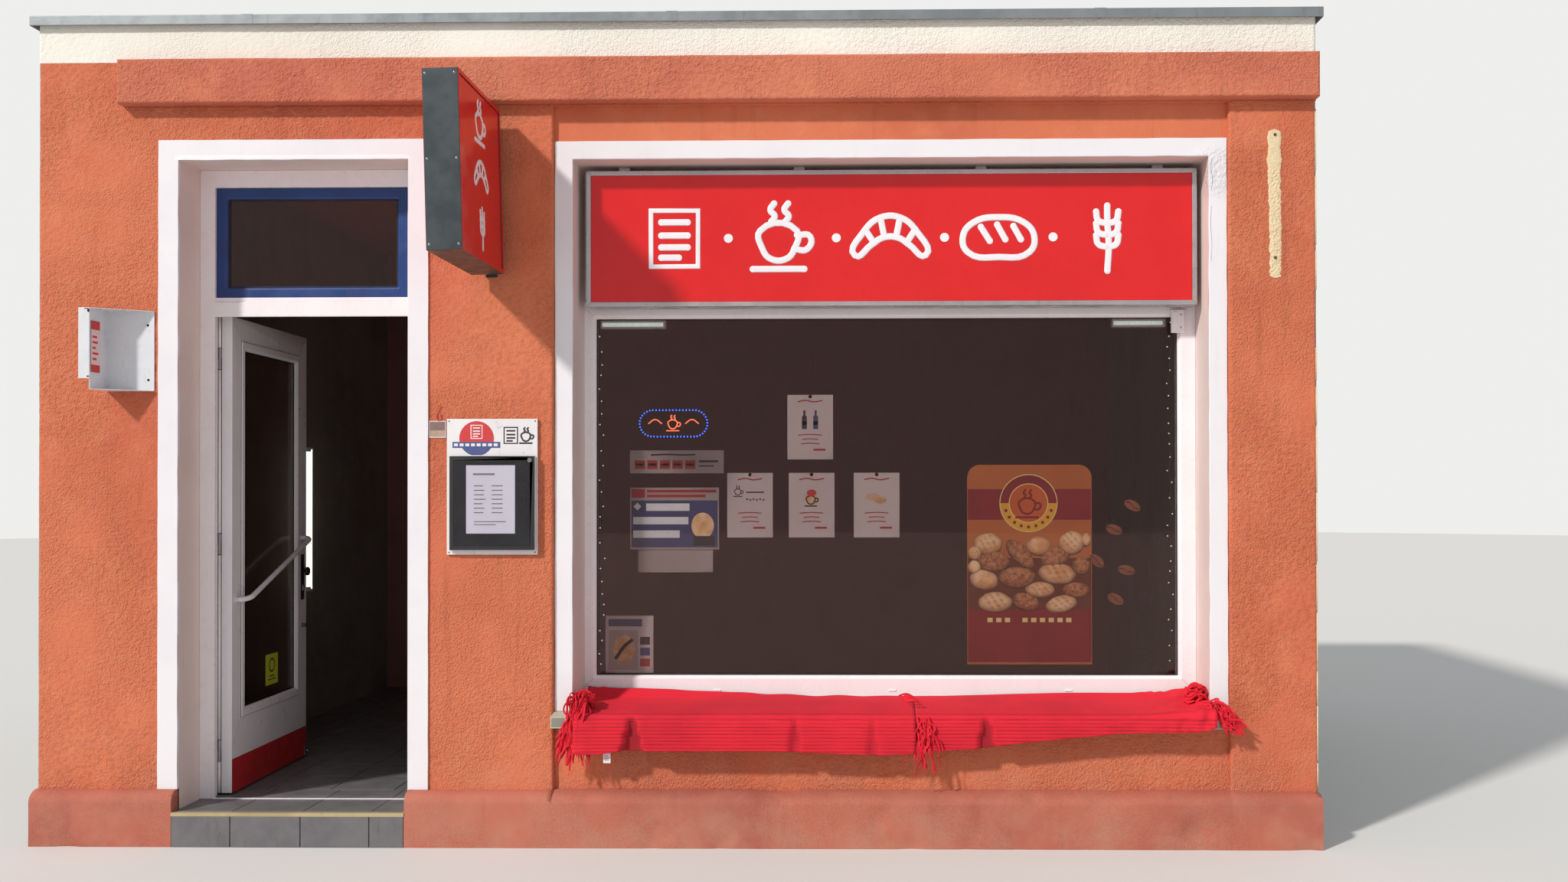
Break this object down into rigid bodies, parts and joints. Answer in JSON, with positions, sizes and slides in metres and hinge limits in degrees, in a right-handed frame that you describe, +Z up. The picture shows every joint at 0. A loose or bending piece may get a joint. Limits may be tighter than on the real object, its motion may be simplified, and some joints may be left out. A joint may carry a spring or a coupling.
{
  "type": "street kiosk shop unit",
  "caption": "Ground-floor street kiosk in a row: rendered walls, glazed swing door with fanlight, wide shop window, sign box, bracket sign and notice board.",
  "frame": {"origin": "centre of the building's footprint at ground level, between the front and rear wall planes", "axes": "+Z up; the shopfront faces -Y; +X to the right seen from the street"},
  "size_m": [5.672, 4.732, 3.646],
  "materials": {
    "terracotta_render": "rough sprayed render, painted terracotta",
    "white_render": "coarse roughcast, painted off-white",
    "smooth_plaster": "smooth plaster, painted white",
    "plinth_render": "smooth render, painted terracotta",
    "party_render": "plain grey render",
    "tile_grey": "matt grey floor tiles",
    "edge_trim": "satin nosing profile",
    "coping_sheet": "folded sheet, matt grey",
    "roofing_felt": "mineral roofing felt",
    "frame_white": "white window profile, semi-gloss",
    "sash_blue": "dark blue gloss paint",
    "clear_glass": "clear glass",
    "kick_red": "dark red enamel",
    "bar_steel": "steel tube, painted white",
    "lock_dark": "dark bronze plate",
    "hinge_steel": "zinc plated steel",
    "sill_stone": "cast stone sill",
    "sign_aluminium": "satin aluminium profile",
    "sign_red": "red acrylic sheet",
    "sign_steel": "dark galvanised sheet, handled",
    "board_white": "white laminate",
    "case_black": "black powder coat",
    "rack_white": "off-white stove enamel, chipped",
    "paper_sheet": "printed paper",
    "display_card": "printed card",
    "ring_light": "light tube on a clear plate",
    "lamp_white": "white lamp cover",
    "throw_red": "ribbed woven cotton, fringed"
  },
  "bodies": {
    "building": {"floor_slab": "tile_grey", "door_step": "tile_grey", "step_nosing": "edge_trim", "plinth": "plinth_render", "pier_left": "terracotta_render", "pier_middle": "terracotta_render", "pier_right": "terracotta_render", "wall_over_door": "terracotta_render", "wall_over_window": "terracotta_render", "window_apron": "terracotta_render", "party_wall_left": "party_render", "party_wall_right": "party_render", "rear_wall": "terracotta_render", "roof_slab": "terracotta_render", "belt_band": "terracotta_render", "parapet": "white_render", "coping": "coping_sheet", "roof_covering": "roofing_felt", "door_surround": "smooth_plaster", "window_surround": "smooth_plaster", "door_frame": "frame_white", "transom_sash": "sash_blue", "transom_glass": "clear_glass", "door_hinges_frame": "hinge_steel", "window_frame": "frame_white", "window_glass": "clear_glass", "window_sill": "sill_stone", "fascia_sign_case": "sign_aluminium", "fascia_sign_panel": "sign_red", "bracket_sign_case": "sign_steel", "bracket_sign_panels": "sign_red", "notice_board": "board_white", "notice_case": "case_black", "wall_rack": "rack_white", "window_papers": "paper_sheet", "display_board": "display_card", "ring_sign": "ring_light", "window_lamps": "lamp_white", "sill_throw": "throw_red"},
    "door": {"door_leaf": "frame_white", "door_glass": "clear_glass", "glazing_beads": "frame_white", "kick_plate": "kick_red", "pull_handle": "bar_steel", "door_lock": "lock_dark", "door_hinges_leaf": "hinge_steel"}
  },
  "joints": [
    {"name": "door_swing", "type": "hinge", "parent": "building", "child": "door", "pos_m": [-2.1295, -1.73, 1.25], "axis": [0, 0, 1], "range_deg": [-92, 8]}
  ]
}
